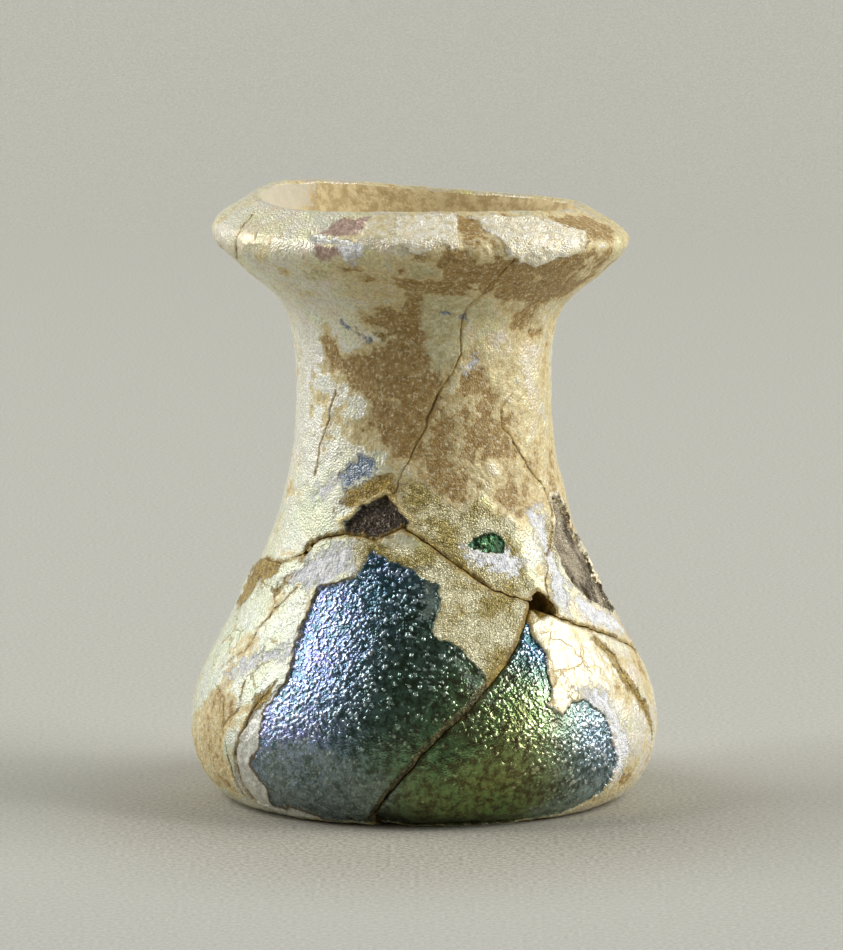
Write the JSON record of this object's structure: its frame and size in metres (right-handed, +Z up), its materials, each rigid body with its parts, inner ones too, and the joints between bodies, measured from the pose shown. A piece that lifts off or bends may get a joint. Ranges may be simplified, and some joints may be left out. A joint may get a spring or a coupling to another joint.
{
  "type": "glass jar",
  "caption": "Small ancient blown-glass cosmetic jar with a flaring folded rim, waisted neck and bell-shaped body on a flat base, broken and rejoined, its surface weathered and iridescent.",
  "frame": {"origin": "middle of the resting ring, on the surface that the jar stands on", "axes": "+Z up through the neck, -Y towards the front that the picture shows, +X to the right"},
  "size_m": [0.0354, 0.0354, 0.0459],
  "materials": {
    "weathered_glass": "opaque cream and tan weathering crust over dark green glass, iridescent where the crust has flaked off"
  },
  "bodies": {
    "root": {"glass_jar": "weathered_glass"}
  },
  "joints": []
}
